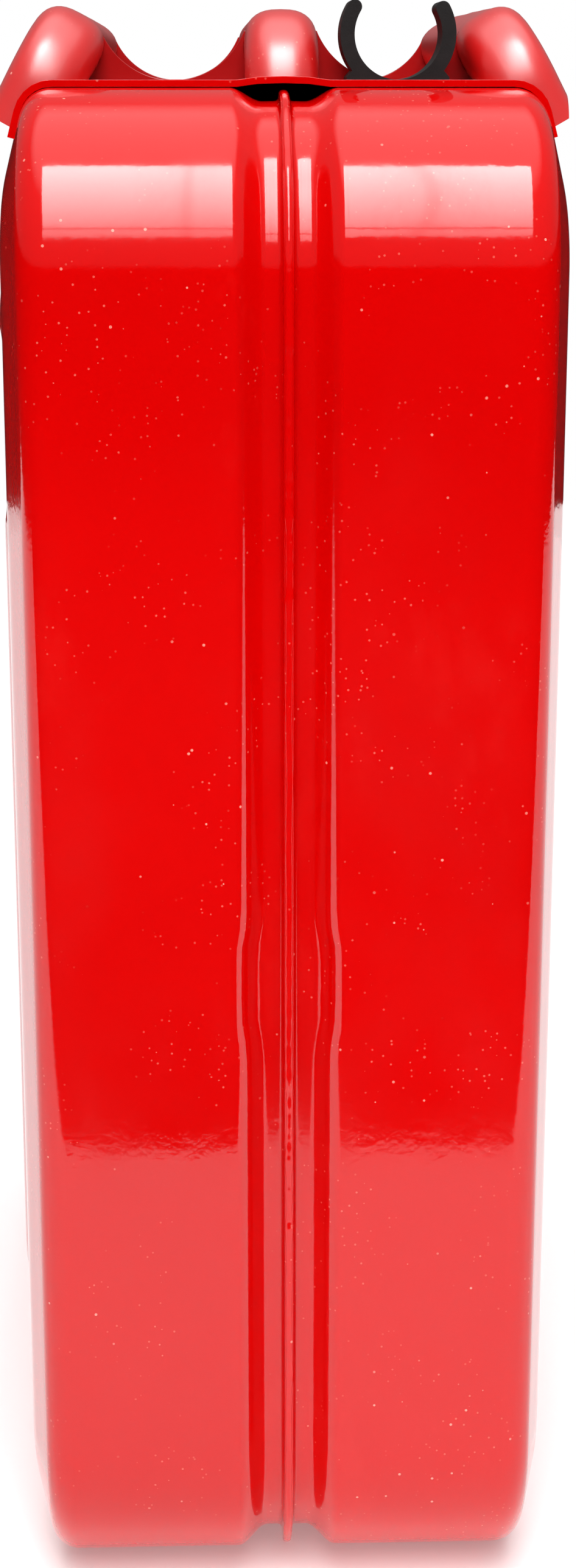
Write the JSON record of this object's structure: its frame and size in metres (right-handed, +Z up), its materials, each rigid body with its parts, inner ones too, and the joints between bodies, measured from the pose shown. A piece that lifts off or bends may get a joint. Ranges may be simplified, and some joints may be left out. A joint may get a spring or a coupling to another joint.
{
  "type": "safety gas can",
  "caption": "Upright steel fuel can with two pressed halves, carrying handles over a hand hollow, a cam-lever filler closure and a clip for a pouring spout.",
  "frame": {"origin": "centre of the can's footprint, on the surface it stands on", "axes": "+Z up; +Y from the rear narrow face towards the filler end; +X to the right when looking along +Y at the rear face, square to the wide sides"},
  "size_m": [0.162, 0.345, 0.4732],
  "materials": {
    "red_enamel": "gloss",
    "zinc_steel": "satin",
    "black_plastic": "matte",
    "rubber": "matte"
  },
  "bodies": {
    "can": {"left_shell": "red_enamel", "right_shell": "red_enamel", "seam_weld": "red_enamel", "filler_neck": "red_enamel", "vent_tube": "zinc_steel", "rear_saddle": "red_enamel", "front_saddle": "red_enamel", "rear_web": "red_enamel", "front_web": "red_enamel", "left_handle": "red_enamel", "centre_handle": "red_enamel", "right_handle": "red_enamel", "spout_clip": "black_plastic", "clip_rivets": "zinc_steel", "hinge_bracket": "red_enamel", "lid_hinge_pin": "zinc_steel", "catch_bracket": "red_enamel", "catch_pin": "zinc_steel"},
    "lid_assembly": {"lid": "red_enamel", "lid_gasket": "rubber", "gasket_plate": "zinc_steel", "gasket_rivet": "zinc_steel", "hinge_strap": "red_enamel", "lever_pin": "zinc_steel"},
    "closing_lever": {"lever": "red_enamel"}
  },
  "joints": [
    {"name": "lid_hinge", "type": "hinge", "parent": "can", "child": "lid_assembly", "pos_m": [0, 0.0967, 0.43778], "axis": [1, 0, 0], "range_deg": [0, 120]},
    {"name": "lever_pivot", "type": "hinge", "parent": "lid_assembly", "child": "closing_lever", "pos_m": [0, 0.15327, 0.41186], "axis": [1, 0, 0], "range_deg": [0, 85]}
  ]
}
